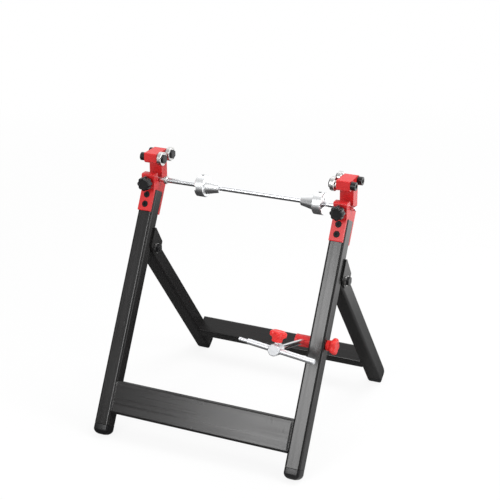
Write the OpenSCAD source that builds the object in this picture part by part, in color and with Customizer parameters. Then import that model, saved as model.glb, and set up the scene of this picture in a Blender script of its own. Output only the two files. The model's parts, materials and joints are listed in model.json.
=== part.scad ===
// Folding bench stand for balancing and truing a workpiece on a shaft.
// Millimetres, Z up, X along the shaft, the front frame faces -Y.
// Each sub-part is its own module; node picks one of them.

/* [Frame tubes] */
// outer side of the square tube
tube = 25; // [22:0.5:30]
// outer corner radius of the tube
tube_corner = 3.75; // [2:0.25:5]
// wall of the tube
tube_wall = 2; // [1.5:0.25:2.5]
// width of the stand over its legs
stand_width = 352; // [320:1:420]
// lean of the front frame from upright, degrees
front_lean = 28; // [24:1:30]
// lean of the rear frame from upright, degrees
rear_lean = 38; // [34:1:42]
// length of the front legs from foot end to tube top
front_leg_length = 396.4; // [380:0.1:430]
// height of the front crossbar along the legs
front_bar_height = 51.8; // [40:0.1:60]
// start of the front crossbar above the foot ends
front_bar_start = 36.4; // [30:0.1:60]
// height of the rear crossbar along its legs
rear_bar_height = 21; // [16:0.5:30]
// depth of the rear crossbar
rear_bar_depth = 30; // [26:0.5:34]
// start of the rear crossbar above the foot ends
rear_bar_start = 51.7; // [35:0.1:80]

/* [Feet] */
// length of a foot cap below the tube end
cap_length = 17; // [14:0.5:24]
// rounding of a foot cap's end
cap_round = 8; // [4:0.5:9]
// depth of a foot cap's plug inside the tube
plug_depth = 14; // [8:1:20]
// height of the flat cut under a foot cap's round end
foot_flat = 0.4; // [0.2:0.1:1]

/* [Fold pivot] */
// fold pivot below the tops of the front legs, along them
pivot_below_top = 88.7; // [84:0.1:110]
// gap between folded front and rear tubes
fold_gap = 0.5; // [0.3:0.1:1.5]
// thickness of the bracket plates
ear_plate = 3; // [2.5:0.25:5]
// side gap between a bracket plate and the tubes
ear_gap = 0.05; // [0.02:0.01:0.1]
// radius of the bracket's round bottom
ear_round = 12; // [10:0.5:14]
// overlap of the bracket on the front leg's side
ear_overlap = 7; // [5:0.5:10]
// reach of a bracket plate above the pivot, along the front leg
ear_rise = 30; // [26:0.5:36]
// reach of a bracket plate behind the pivot
ear_back = 14; // [13:0.5:18]
// gap between the rear tube and its open stop
stop_gap = 0.3; // [0.1:0.1:1]
// diameter of the pivot bolts
pivot_bolt_d = 8; // [6:0.5:10]
// thickness of the pivot washers
washer_thick = 1; // [0.75:0.25:2]
// height of the pivot bolts' heads and nuts
pivot_head = 4.4; // [3:0.1:7]

/* [Heads] */
// width of a head along the shaft
head_width = 22; // [16:0.5:24]
// thickness of the front clamp plate
front_plate = 5; // [4:0.25:7]
// thickness of the rear clamp plate
back_plate = 5.5; // [4:0.25:7]
// reach of the clamp plates down the leg
arm_reach = 36; // [33:0.5:45]
// top of the front lip above the bend
lip_top = 23.4; // [21:0.1:28]
// thickness of the front lip
lip_depth = 14; // [10:0.5:16]
// width of the shaft notch
notch_width = 13; // [10:0.5:15]
// lowest point of the shaft notch above the bend
notch_floor = 6.5; // [5:0.25:9]
// depth of the post that carries the bearing block
post_depth = 17.5; // [12:0.5:20]
// height of the bearing axles above the bend
axle_height = 46.5; // [42:0.5:60]
// half height of the bearing block
block_half = 8; // [7.5:0.25:10]
// distance between the two bearing axles of a head
axle_spacing = 28.4; // [26:0.2:34]
// front axle behind the lip's front face
axle_front = 16.5; // [14:0.5:18]
// front axle behind the bearing block's front face
nose_reach = 6.5; // [6.5:0.25:10]
// lower front corner cut of the bearing block
block_chamfer = 2.5; // [1:0.25:4]
// diameter of the head's clamp screws
head_screw_d = 6; // [5:0.5:6]
// first clamp screw below the bend
screw_first = 10; // [8:0.5:12]
// distance between the clamp screws
screw_spacing = 15.3; // [13:0.1:18]

/* [Balancing bearings] */
// outer diameter of a bearing
bearing_od = 22; // [18:0.5:24]
// width of a bearing
bearing_width = 7; // [5:0.5:9]
// diameter of the bearing axles
axle_d = 8; // [6:0.5:8]
// width of the spacer behind a bearing
spacer_width = 2.5; // [0.5:0.25:3]
// thickness of the thin nut in front of a bearing
axle_nut = 3; // [2.5:0.5:6]
// radial running gap between bearing rings
ring_gap = 0.05; // [0.02:0.01:0.1]

/* [Shaft and cones] */
// diameter of the shaft
shaft_d = 8; // [6:0.5:8.5]
// shaft beyond the outer face of a head
shaft_overhang = 8; // [2:0.5:20]
// gap under the resting shaft in the notch
shaft_seat_gap = 0.1; // [0.05:0.01:0.3]
// radial sliding gap of cones and rings on the shaft
slide_gap = 0.04; // [0.02:0.01:0.1]
// outer diameter of a cone
cone_d = 35; // [28:0.5:44]
// length of a cone's wide part
cone_wide = 15.5; // [10:0.5:20]
// length of a cone's taper
cone_taper = 22; // [15:1:30]
// diameter behind a cone's wide part
cone_shoulder_d = 25; // [20:0.5:28]
// diameter of a cone's small end
cone_nose_d = 15; // [13:0.5:18]
// gap between the right head and the right cone's outer face
cone_right_gap = 21.5; // [16:0.5:40]
// gap between the left head and the left cone's outer face
cone_left_gap = 69.5; // [30:0.5:80]
// width of the slot across a cone's outer face
cone_slot = 7; // [4:0.5:8]
// depth of the slot across a cone's outer face
cone_slot_depth = 3; // [1:0.25:4]
// gap between the left head and the stop ring
stop_ring_gap = 9; // [6:0.5:14]
// width of the stop ring
stop_ring_width = 5; // [4:0.5:8]

/* [Clamp knobs] */
// diameter of the shaft clamp knobs
knob_d = 23; // [18:0.5:26]
// thickness of the shaft clamp knobs
knob_thick = 12; // [8:0.5:14]
// gap between a clamp knob and the head
knob_stand_off = 4; // [1:0.5:6]
// diameter of the clamp studs
stud_d = 6; // [5:0.5:6]

/* [Truing gauge] */
// height of the gauge bolt along the front leg
gauge_along = 205.8; // [180:0.1:240]
// diameter of the gauge clamp block
block_d = 18.5; // [17:0.5:26]
// length of the gauge clamp block
block_length = 24; // [22:0.5:32]
// diameter of the gauge bolt
gauge_bolt_d = 8; // [6:0.5:10]
// diameter of both gauge rods
rod_d = 8.5; // [7:0.25:9]
// upward tilt of the arm rod from level, degrees
arm_tilt = 16.7; // [5:0.1:30]
// roll of the cross clamp about the arm rod, degrees
clamp_roll = 6; // [0:0.5:12]
// arm rod from the gauge bolt to the pointer rod
arm_reach_front = 113.3; // [90:0.1:130]
// arm rod behind the gauge bolt
arm_reach_back = 20; // [14:0.5:30]
// outer diameter of the cross clamp
clamp_d = 17.5; // [16:0.5:22]
// cross clamp in front of the pointer rod
clamp_front = 7; // [6:0.25:10]
// cross clamp behind the pointer rod
clamp_back = 14; // [12:0.5:20]
// pointer from the cross clamp to its tip
pointer_in = 58; // [40:1:70]
// pointer from the cross clamp to its outer end
pointer_out = 62.2; // [40:0.1:70]
// diameter of the pointer's threaded tip
tip_d = 5.5; // [4:0.5:6]
// length of the pointer's threaded tip
tip_length = 14.5; // [8:0.5:18]
// diameter over the star knob's lobes
star_d = 26; // [22:0.5:32]
// thickness of the star knob's lobes
star_thick = 8; // [6:0.5:12]
// length of the star knob's hub
star_hub = 8; // [5:0.5:10]
// diameter of the star knob's hub
star_hub_d = 15.5; // [12:0.5:18]
// diameter of the cross clamp's screw
clamp_screw_d = 6; // [4:0.5:6]
// gap between the cross clamp and its star knob
star_stand_off = 3.5; // [2:0.5:6]
// radial gap of rods, studs and bolts in their holes
rod_gap = 0.05; // [0.02:0.01:0.1]

/* [Hidden] */
$fn = 48;
e = 0.01;
leg_x = (stand_width - tube) / 2;
half = tube / 2;
inner_half = half - tube_wall;
bore_round = max(tube_corner - tube_wall, 0.5);
sf = sin(front_lean);
cf = cos(front_lean);
sr = sin(rear_lean);
cr = cos(rear_lean);
// height of the front legs' front lower corner, so that the flats of the caps stand on Z 0
front_rise = cap_round - cap_round * cf + (tube - cap_round) * sf - foot_flat;
pivot_along = front_leg_length - pivot_below_top;
pivot_deep = tube + half + fold_gap;
pivot_y = pivot_along * sf + pivot_deep * cf;
pivot_z = front_rise + pivot_along * cf - pivot_deep * sf;
// height of the rear legs' front lower corner under the floor, and their length to the pivot
rear_rise = cap_round - cap_round * cr - cap_round * sr - foot_flat;
rear_pivot_along = (pivot_z - rear_rise - half * sr) / cr;
// bend point: where the front plate of a head turns upright
bend_y = front_leg_length * sf - front_plate * cf;
bend_z = front_rise + front_leg_length * cf + front_plate * sf;
clamp_depth = front_plate + tube + back_plate;
notch_back = lip_depth + notch_width;
post_back = notch_back + post_depth;
back_rise = (post_back - clamp_depth * cf) / sf;
back_bend = -clamp_depth * sf + back_rise * cf;
shaft_off = lip_depth + notch_width / 2;
shaft_length = 2 * (leg_x + head_width / 2 + shaft_overhang);
shaft_up = notch_floor + shaft_d / 2 + shaft_seat_gap;
shaft_y = bend_y + shaft_off;
shaft_z = bend_z + shaft_up;
axle_rear = axle_front + axle_spacing;
head_in = leg_x - head_width / 2;
head_out = leg_x + head_width / 2;
cone_right_x = head_in - cone_right_gap;
cone_left_x = cone_left_gap - head_in;
stop_ring_x = stop_ring_gap + stop_ring_width / 2 - head_in;
axle_head_d = axle_d * 1.625;
axle_head = axle_d;
ring_in_r = axle_d / 2 + 2.1;
web_near = half + stop_gap;
web_thick = ear_plate + 1;
gauge_y = gauge_along * sf + half * cf;
gauge_z = front_rise + gauge_along * cf - half * sf;
rod_x = leg_x - half - block_length / 2;
star_gap = 0.5;
star_out = leg_x + half + star_gap + star_hub + star_thick;
low_head = head_screw_d / 2;
// the box of the resting stand, which is centred on X 0 and Y 0
box_right = rod_x + pointer_out * cos(clamp_roll) + (rod_d / 2 - 0.8) * sin(clamp_roll);
pivot_grip = half + ear_gap + ear_plate + washer_thick;
box_left = leg_x + pivot_grip + pivot_head;
clamp_face = arm_reach_front + clamp_front;
box_front = gauge_y - clamp_face * cos(arm_tilt) - (clamp_d / 2 - 1) * sin(arm_tilt);
box_back = pivot_y + (rear_pivot_along - cap_round) * sr + (half - cap_round) * cr + cap_round;
shift_x = (box_right - box_left) / 2;
shift_y = (box_front + box_back) / 2;

red = [0.85, 0.08, 0.08];
black = [0.09, 0.09, 0.1];
steel = [0.75, 0.76, 0.78];

// placing helpers

// moves the stand so that its box is centred on the origin
module placed() {
    translate([-shift_x, -shift_y, 0]) children();
}

// local X across, Y into the front leg from its front face, Z up along it from the foot end
module on_front() {
    translate([0, 0, front_rise]) rotate([-front_lean, 0, 0]) children();
}

// local X across, Y into the rear leg from its front face, Z up along it from the foot end
module on_rear() {
    translate([0, pivot_y, pivot_z]) rotate([rear_lean, 0, 0])
        translate([0, -half, -rear_pivot_along]) children();
}

// local X forward-up along the arm rod, from the gauge bolt at the rod's middle plane;
// local Y runs along the pointer towards the right, local Z along the clamp screw
module on_arm(along = 0, roll = 0) {
    translate([rod_x, gauge_y, gauge_z])
        multmatrix([
            [0, 1, 0, 0],
            [-cos(arm_tilt), 0, sin(arm_tilt), 0],
            [sin(arm_tilt), 0, cos(arm_tilt), 0],
            [0, 0, 0, 1]])
        translate([along, 0, 0]) rotate([-roll, 0, 0]) children();
}

module both_sides() {
    children();
    mirror([1, 0, 0]) children();
}

// shape helpers

// flat rounded box from [x0, y0] to [x1, y1]
module soft_box(x0, y0, x1, y1, r) {
    translate([x0 + r, y0]) square([x1 - x0 - 2 * r, y1 - y0]);
    translate([x0, y0 + r]) square([x1 - x0, y1 - y0 - 2 * r]);
    for (x = [x0 + r, x1 - r])
        for (y = [y0 + r, y1 - r])
            translate([x, y]) circle(r);
}

// cylinder along X from x0 to x1
module rod_along_x(d, x0, x1) {
    translate([x0, 0, 0]) rotate([0, 90, 0]) cylinder(d = d, h = x1 - x0);
}

// cylinder along Y from y0 to y1
module rod_along_y(d, y0, y1) {
    translate([0, y0, 0]) rotate([-90, 0, 0]) cylinder(d = d, h = y1 - y0);
}

// hexagon bar along X from x0 to x1, af across its flats
module hex_along_x(af, x0, x1) {
    translate([x0, 0, 0]) rotate([0, 90, 0]) cylinder(d = af / cos(30), h = x1 - x0, $fn = 6);
}

// profile drawn in Y and Z, given a width along X
module across(x0, x1) {
    translate([x0, 0, 0]) rotate([90, 0, 90]) linear_extrude(x1 - x0) children();
}

// outline of the square tube and of its inside
module tube_outline() {
    soft_box(-half, 0, half, tube, tube_corner);
}

module tube_inside(gap = 0) {
    soft_box(-inner_half + gap, tube_wall + gap, inner_half - gap, tube - tube_wall - gap, bore_round);
}

// hollow tube along local Z
module tube_length(z0, z1) {
    difference() {
        translate([0, 0, z0]) linear_extrude(z1 - z0) tube_outline();
        translate([0, 0, z0 - 1]) linear_extrude(z1 - z0 + 2) tube_inside();
    }
}

// rounded plastic end cap with its plug, along local Z from 0
module foot_cap() {
    intersection() {
        linear_extrude(cap_length) tube_outline();
        across(-tube, tube) soft_box(0, 0, tube, 2 * cap_length + tube, cap_round);
        translate([0, -tube, 0]) rotate([90, 0, 0]) translate([0, 0, -3 * tube])
            linear_extrude(3 * tube) soft_box(-half, 0, half, 2 * cap_length + tube, cap_round);
    }
    translate([0, 0, cap_length - e]) linear_extrude(plug_depth) tube_inside(0.05);
}

// cuts away what lies under the floor
module above_floor() {
    difference() {
        children();
        translate([-stand_width, -stand_width, -tube]) cube([2 * stand_width, 3 * stand_width, tube]);
    }
}

// bead that fills the groove between a flush crossbar and a leg's rounded corner
module groove_bead(z0, z1, front) {
    translate([0, front ? 0 : tube, z0]) mirror([0, front ? 0 : 1, 0])
        linear_extrude(z1 - z0) difference() {
            translate([-half, 0]) square([tube_corner, tube_corner]);
            translate([-half + tube_corner, tube_corner]) circle(tube_corner);
        }
}

// star knob with five lobes along local Z, its hub's face at 0
module star_knob(bore) {
    difference() {
        union() {
            cylinder(d = star_hub_d, h = star_hub + 1);
            translate([0, 0, star_hub]) cylinder(d = star_d, h = star_thick);
        }
        for (a = [36 : 72 : 324])
            rotate([0, 0, a]) translate([star_d / 2 + 2.6, 0, star_hub - 0.5])
                cylinder(d = 11, h = star_thick + 2);
        translate([0, 0, -1]) cylinder(d = bore, h = star_hub + star_thick - 2);
    }
}

// front frame

module front_leg(side) {
    color(black) placed() translate([side * leg_x, 0, 0]) on_front() difference() {
        tube_length(cap_length, front_leg_length);
        for (d = [screw_first, screw_first + screw_spacing])
            translate([0, 0, front_leg_length - d])
                rod_along_y(head_screw_d + 2 * rod_gap, -1, tube + 1);
        if (side > 0)
            translate([0, half, gauge_along])
                rod_along_x(gauge_bolt_d + 2 * rod_gap, -half - 1, half + 1);
    }
}

module front_leg_left() {
    front_leg(-1);
}

module front_leg_right() {
    front_leg(1);
}

module front_crossbar() {
    x = leg_x - half;
    color(black) placed() on_front() difference() {
        across(-x, x)
            soft_box(0, front_bar_start, tube, front_bar_start + front_bar_height, tube_corner);
        across(-x - 1, x + 1)
            soft_box(tube_wall, front_bar_start + tube_wall, tube - tube_wall,
                front_bar_start + front_bar_height - tube_wall, bore_round);
    }
}

module front_welds() {
    color(black) placed() on_front() both_sides() translate([leg_x, 0, 0]) {
        z0 = front_bar_start + tube_corner;
        z1 = front_bar_start + front_bar_height - tube_corner;
        groove_bead(z0, z1, true);
        groove_bead(z0, z1, false);
    }
}

module front_foot_caps() {
    color(black) placed() above_floor() on_front() both_sides() translate([leg_x, 0, 0]) foot_cap();
}

// outline of a bracket plate, first axis into the leg, second along it
module ear_outline() {
    near = tube - ear_overlap;
    difference() {
        union() {
            translate([pivot_deep, pivot_along]) circle(ear_round);
            polygon([
                [near, pivot_along - 1],
                [near, pivot_along + ear_rise],
                [near + 3, pivot_along + ear_rise + 1],
                [pivot_deep + ear_back - 0.5, pivot_along + ear_rise * 0.45],
                [pivot_deep + ear_back, pivot_along + ear_rise * 0.3],
                [pivot_deep + ear_round * cos(20), pivot_along - ear_round * sin(20)],
                [pivot_deep - ear_round * 0.62, pivot_along - ear_round * 0.785]]);
        }
        translate([pivot_deep, pivot_along]) circle(pivot_bolt_d / 2 + rod_gap);
    }
}

module pivot_bracket(side) {
    color(black) placed() translate([side * leg_x, 0, 0]) on_front() {
        across(half + ear_gap, half + ear_gap + ear_plate) ear_outline();
        across(-half - ear_gap - ear_plate, -half - ear_gap) ear_outline();
        // the web between the plates stops the opened rear leg
        intersection() {
            translate([0, pivot_deep, pivot_along]) rotate([front_lean + rear_lean, 0, 0])
                across(-half - ear_gap - e, half + ear_gap + e)
                    translate([web_near, -tube]) square([web_thick, 2 * tube + ear_rise]);
            across(-tube, tube) difference() {
                ear_outline();
                translate([0, pivot_along - tube]) square([tube, 2 * tube + ear_rise]);
            }
        }
    }
}

module pivot_bracket_left() {
    pivot_bracket(-1);
}

module pivot_bracket_right() {
    pivot_bracket(1);
}

// heads

// side outline of a head, with the bend point as its origin
module head_outline() {
    nose = axle_front - nose_reach;
    lo = axle_height - block_half;
    hi = axle_height + block_half;
    c = block_chamfer;
    rotate(-front_lean) {
        soft_box(0, -arm_reach, front_plate, 4, 1.5);
        soft_box(front_plate + tube, -arm_reach, clamp_depth, back_rise, 1.5);
        translate([front_plate, 0]) square([tube, 3]);
    }
    difference() {
        union() {
            polygon([
                [0, 0],
                [0, lip_top - 3],
                [3, lip_top],
                [post_back, lip_top],
                [post_back, back_bend],
                [clamp_depth * cf, -clamp_depth * sf]]);
            translate([3, lip_top - 3]) circle(3);
            translate([notch_back, notch_floor]) square([post_depth, axle_height - notch_floor]);
        }
        translate([shaft_off, notch_floor + notch_width / 2]) circle(notch_width / 2);
        translate([lip_depth, notch_floor + notch_width / 2]) square([notch_width, axle_height]);
        // small round on the lip's inner corner
        difference() {
            translate([lip_depth - 2, lip_top - 2]) square([3, 3]);
            translate([lip_depth - 2, lip_top - 2]) circle(2);
        }
    }
    // bearing block, round about the rear axle
    translate([axle_rear, axle_height]) circle(block_half);
    polygon([
        [nose + c, lo], [axle_rear, lo], [axle_rear, hi], [nose + 1, hi],
        [nose, hi - 1], [nose, lo + c]]);
    // fillet between post and block
    difference() {
        translate([post_back - 1, lo - 3]) square([4, 4]);
        translate([post_back + 3, lo - 3]) circle(3);
    }
}

module head() {
    color(red) difference() {
        translate([0, bend_y, bend_z]) across(head_in, head_out) head_outline();
        translate([leg_x, 0, 0]) on_front()
            for (d = [screw_first, screw_first + screw_spacing])
                translate([0, 0, front_leg_length - d]) {
                    rod_along_y(head_screw_d + 2 * rod_gap, -front_plate - 1,
                        tube + back_plate + 1);
                    rod_along_y(head_screw_d * 1.75, -front_plate - 1, low_head - front_plate + 0.2);
                }
        for (y = [axle_front, axle_rear])
            translate([0, bend_y + y, bend_z + axle_height])
                rod_along_x(axle_d + 2 * rod_gap, head_in - 1, head_out + 1);
        translate([leg_x, bend_y, shaft_z])
            rod_along_y(stud_d + 2 * rod_gap, -1, shaft_off);
    }
}

module head_left() {
    placed() mirror([1, 0, 0]) head();
}

module head_right() {
    placed() head();
}

module head_screws() {
    color(black) placed() both_sides() translate([leg_x, 0, 0]) on_front()
        for (d = [screw_first, screw_first + screw_spacing])
            translate([0, 0, front_leg_length - d]) difference() {
                union() {
                    rod_along_y(head_screw_d, -front_plate + 1, tube + back_plate);
                    rod_along_y(head_screw_d * 1.65, -front_plate + 0.2, low_head - front_plate + 0.2);
                }
                translate([0, -front_plate - 1, 0]) rotate([-90, 0, 0])
                    cylinder(d = head_screw_d * 0.75, h = 3, $fn = 6);
            }
}

// places children on the four bearing axles, X from the stand's middle
module on_axles() {
    for (y = [axle_front, axle_rear])
        translate([0, bend_y + y, bend_z + axle_height]) children();
}

module bearing_axle_bolts() {
    color(black) placed() both_sides() on_axles() difference() {
        union() {
            rod_along_x(axle_d, head_in - spacer_width - bearing_width - axle_nut, head_out + 1);
            rod_along_x(axle_head_d, head_out, head_out + axle_head);
        }
        hex_along_x(axle_d * 0.75, head_out + axle_head / 2, head_out + axle_head + 1);
    }
}

module axle_spacers() {
    color(steel) placed() both_sides() on_axles() difference() {
        rod_along_x(ring_in_r * 2 - 0.2, head_in - spacer_width, head_in);
        rod_along_x(axle_d + 2 * rod_gap, head_in - spacer_width - 1, head_in + 1);
    }
}

module axle_nuts() {
    x = head_in - spacer_width - bearing_width;
    color(black) placed() both_sides() on_axles() difference() {
        hex_along_x(axle_d * 1.625, x - axle_nut, x);
        rod_along_x(axle_d + 2 * rod_gap, x - axle_nut - 1, x + 1);
    }
}

module bearing_inner_rings() {
    x = head_in - spacer_width - bearing_width;
    color(steel) placed() both_sides() on_axles() difference() {
        rod_along_x(ring_in_r * 2, x, x + bearing_width);
        rod_along_x(axle_d + 2 * rod_gap, x - 1, x + bearing_width + 1);
    }
}

// outer ring of a bearing with its set-back shields
module bearing_ring(y) {
    x = head_in - spacer_width - bearing_width;
    shield = bearing_od - 3.6;
    color(steel) translate([0, bend_y + y, bend_z + axle_height]) difference() {
        rod_along_x(bearing_od, x, x + bearing_width);
        rod_along_x(2 * (ring_in_r + ring_gap), x - 1, x + bearing_width + 1);
        rod_along_x(shield, x - 1, x + 0.4);
        rod_along_x(shield, x + bearing_width - 0.4, x + bearing_width + 1);
    }
}

module bearing_left_front() {
    placed() mirror([1, 0, 0]) bearing_ring(axle_front);
}

module bearing_left_rear() {
    placed() mirror([1, 0, 0]) bearing_ring(axle_rear);
}

module bearing_right_front() {
    placed() bearing_ring(axle_front);
}

module bearing_right_rear() {
    placed() bearing_ring(axle_rear);
}

// shaft clamp screws

module clamp_stud(side) {
    color(steel) placed() translate([side * leg_x, shaft_y, shaft_z])
        rod_along_y(stud_d, -shaft_off - knob_stand_off - knob_thick + 2,
            -shaft_d / 2 - shaft_seat_gap);
}

module clamp_stud_left() {
    clamp_stud(-1);
}

module clamp_stud_right() {
    clamp_stud(1);
}

module clamp_knob(side) {
    color(black) placed() translate([side * leg_x, bend_y - knob_stand_off, shaft_z])
        rotate([90, 0, 0]) difference() {
            cylinder(d = knob_d, h = knob_thick);
            for (a = [0 : 45 : 315])
                rotate([0, 0, a + 22.5]) translate([knob_d / 2 + 0.8, 0, -1])
                    cylinder(d = 4, h = knob_thick + 2);
            translate([0, 0, -1]) cylinder(d = stud_d + 2 * rod_gap, h = knob_thick - 1);
        }
}

module clamp_knob_left() {
    clamp_knob(-1);
}

module clamp_knob_right() {
    clamp_knob(1);
}

// shaft and cones

module on_shaft() {
    translate([0, shaft_y, shaft_z]) children();
}

module balance_shaft() {
    color(steel) placed() on_shaft() {
        rod_along_x(shaft_d, -shaft_length / 2 + 1, shaft_length / 2 - 1);
        for (s = [-1, 1])
            scale([s, 1, 1]) translate([shaft_length / 2 - 1, 0, 0]) rotate([0, 90, 0])
                cylinder(d1 = shaft_d, d2 = shaft_d - 2, h = 1);
    }
}

module shaft_stop_ring() {
    color(black) placed() on_shaft() difference() {
        rod_along_x(shaft_d * 1.6, stop_ring_x - stop_ring_width / 2,
            stop_ring_x + stop_ring_width / 2);
        rod_along_x(shaft_d + 2 * slide_gap, stop_ring_x - stop_ring_width,
            stop_ring_x + stop_ring_width);
    }
}

// cone with its wide outer face at 0 and its nose towards -X
module cone_body() {
    length = cone_wide + cone_taper;
    color(steel) difference() {
        rotate([0, -90, 0]) rotate_extrude() polygon([
            [shaft_d / 2 + slide_gap, 0],
            [cone_d / 2 - 1, 0],
            [cone_d / 2, 1],
            [cone_d / 2, cone_wide - 1],
            [cone_d / 2 - 1, cone_wide],
            [cone_shoulder_d / 2, cone_wide],
            [cone_shoulder_d / 2 - 1, cone_wide + 4],
            [cone_nose_d / 2, length],
            [shaft_d / 2 + slide_gap, length]]);
        translate([-cone_wide / 2, 0, 0]) cylinder(d = 5.1, h = cone_d);
        // slot in the outer face, from the bore towards the front
        translate([-cone_slot_depth, -cone_d, -cone_slot / 2])
            cube([2 * cone_slot_depth, cone_d, cone_slot]);
        // hole for a pin spanner
        translate([-cone_slot_depth, -1, cone_d * 0.22]) rod_along_x(4, 0, 2 * cone_slot_depth);
    }
}

module cone_screw() {
    color(black) translate([-cone_wide / 2, 0, 0]) difference() {
        translate([0, 0, shaft_d / 2 + 0.1]) cylinder(d = 5, h = 8);
        translate([0, 0, shaft_d / 2 + 5.5]) cylinder(d = 2.8, h = 5, $fn = 6);
    }
}

module cone_right() {
    placed() on_shaft() translate([cone_right_x, 0, 0]) cone_body();
}

module cone_left() {
    placed() on_shaft() translate([cone_left_x, 0, 0]) mirror([1, 0, 0]) cone_body();
}

module cone_set_screw_right() {
    placed() on_shaft() translate([cone_right_x, 0, 0]) cone_screw();
}

module cone_set_screw_left() {
    placed() on_shaft() translate([cone_left_x, 0, 0]) mirror([1, 0, 0]) cone_screw();
}

// rear frame

module rear_leg(side) {
    color(black) placed() translate([side * leg_x, 0, 0]) on_rear() difference() {
        intersection() {
            tube_length(cap_length, rear_pivot_along + half);
            across(-tube, tube) {
                square([tube, rear_pivot_along]);
                translate([half, rear_pivot_along]) circle(half);
            }
        }
        translate([0, half, rear_pivot_along])
            rod_along_x(pivot_bolt_d + 2 * rod_gap, -half - 1, half + 1);
    }
}

module rear_leg_left() {
    rear_leg(-1);
}

module rear_leg_right() {
    rear_leg(1);
}

module rear_crossbar() {
    x = leg_x - half;
    color(black) placed() on_rear() difference() {
        across(-x, x)
            soft_box(0, rear_bar_start, rear_bar_depth, rear_bar_start + rear_bar_height, 2.5);
        across(-x - 1, x + 1)
            soft_box(tube_wall, rear_bar_start + tube_wall, rear_bar_depth - tube_wall,
                rear_bar_start + rear_bar_height - tube_wall, 0.8);
    }
}

module rear_welds() {
    x = leg_x - half;
    color(black) placed() on_rear() both_sides() {
        translate([leg_x, 0, 0])
            groove_bead(rear_bar_start + 2.5, rear_bar_start + rear_bar_height - 2.5, true);
        // fillet under the crossbar against the leg's inner side
        translate([x, 4, rear_bar_start]) rotate([-90, 0, 0])
            linear_extrude(tube - 8) difference() {
                polygon([[0, 0], [-4, 0], [0, 4]]);
                translate([-5, 5]) circle(3.9);
            }
    }
}

module rear_foot_caps() {
    color(black) placed() above_floor() on_rear() both_sides() translate([leg_x, 0, 0]) foot_cap();
}

// places children on the two fold pivots, X from the leg's middle
module on_pivots() {
    both_sides() translate([leg_x, pivot_y, pivot_z]) children();
}

module rear_pivot_sleeves() {
    color(steel) placed() on_pivots() difference() {
        rod_along_x(pivot_bolt_d + 5, -inner_half, inner_half);
        rod_along_x(pivot_bolt_d + 2 * rod_gap, -half, half);
    }
}

module pivot_bolts() {
    color(black) placed() on_pivots() {
        rod_along_x(pivot_bolt_d, -pivot_grip - pivot_head - 1, pivot_grip + 1);
        hex_along_x(pivot_bolt_d * 1.625, pivot_grip, pivot_grip + pivot_head);
    }
}

module pivot_washers() {
    face = half + ear_gap + ear_plate;
    color(steel) placed() on_pivots()
        for (x = [-pivot_grip, face])
            difference() {
                rod_along_x(pivot_bolt_d * 2, x, x + washer_thick);
                rod_along_x(pivot_bolt_d + 2 * rod_gap, x - 1, x + 3);
            }
}

module pivot_nuts() {
    color(black) placed() on_pivots() difference() {
        hex_along_x(pivot_bolt_d * 1.625, -pivot_grip - pivot_head, -pivot_grip);
        rod_along_x(pivot_bolt_d + 2 * rod_gap, -pivot_grip - pivot_head - 1, -pivot_grip + 1);
    }
}

// truing gauge

module gauge_clamp_block() {
    color(red) placed() difference() {
        translate([0, gauge_y, gauge_z]) {
            difference() {
                rod_along_x(block_d, leg_x - half - block_length, leg_x - half);
                // shallow grip grooves along the block
                for (a = [0 : 45 : 315])
                    rotate([a - front_lean, 0, 0])
                        translate([leg_x - half - block_length + 3, 0, block_d / 2 + 0.9])
                            rotate([0, 90, 0]) cylinder(d = 3.4, h = block_length);
            }
        }
        translate([0, gauge_y, gauge_z])
            rod_along_x(gauge_bolt_d + 2 * rod_gap, rod_x + rod_d / 2 + 1, leg_x);
        on_arm() rod_along_x(rod_d + 2 * rod_gap, -block_d, block_d);
    }
}

module gauge_bolt() {
    color(steel) placed() translate([0, gauge_y, gauge_z])
        rod_along_x(gauge_bolt_d, rod_x + rod_d / 2 + 1, star_out - 4);
}

module gauge_knob_insert() {
    color(steel) placed() translate([0, gauge_y, gauge_z]) difference() {
        rod_along_x(gauge_bolt_d + 3, leg_x + half, leg_x + half + star_hub);
        rod_along_x(gauge_bolt_d + 2 * rod_gap, leg_x, star_out);
    }
}

module gauge_star_knob() {
    color(red) placed() translate([leg_x + half + star_gap, gauge_y, gauge_z]) rotate([0, 90, 0])
        difference() {
            star_knob(gauge_bolt_d + 2 * rod_gap);
            translate([0, 0, -1]) cylinder(d = gauge_bolt_d + 3 + 2 * rod_gap, h = star_hub + 0.5 - star_gap + 0.5);
        }
}

module gauge_arm_rod() {
    color(steel) placed() on_arm()
        rod_along_x(rod_d, -arm_reach_back, arm_reach_front - rod_d / 2 - 0.6);
}

module cross_clamp() {
    color(steel) placed() on_arm(arm_reach_front, clamp_roll) difference() {
        union() {
            rod_along_x(clamp_d, -clamp_back, clamp_front - 1);
            translate([clamp_front - 1, 0, 0]) rotate([0, 90, 0])
                cylinder(d1 = clamp_d, d2 = clamp_d - 2, h = 1);
        }
        rod_along_x(rod_d + 2 * rod_gap, -clamp_back - 1, -rod_d / 2 - 0.5);
        rod_along_y(rod_d + 2 * rod_gap, -clamp_d, clamp_d);
        cylinder(d = clamp_screw_d + 2 * rod_gap, h = clamp_d);
    }
}

module cross_clamp_screw() {
    color(steel) placed() on_arm(arm_reach_front, clamp_roll)
        translate([0, 0, rod_d / 2 + 0.1])
            cylinder(d = clamp_screw_d,
                h = clamp_d / 2 - rod_d / 2 + star_stand_off + star_hub + star_thick - 4);
}

module cross_clamp_knob() {
    color(red) placed() on_arm(arm_reach_front, clamp_roll)
        translate([0, 0, clamp_d / 2 + star_stand_off]) star_knob(clamp_screw_d + 2 * rod_gap);
}

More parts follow.
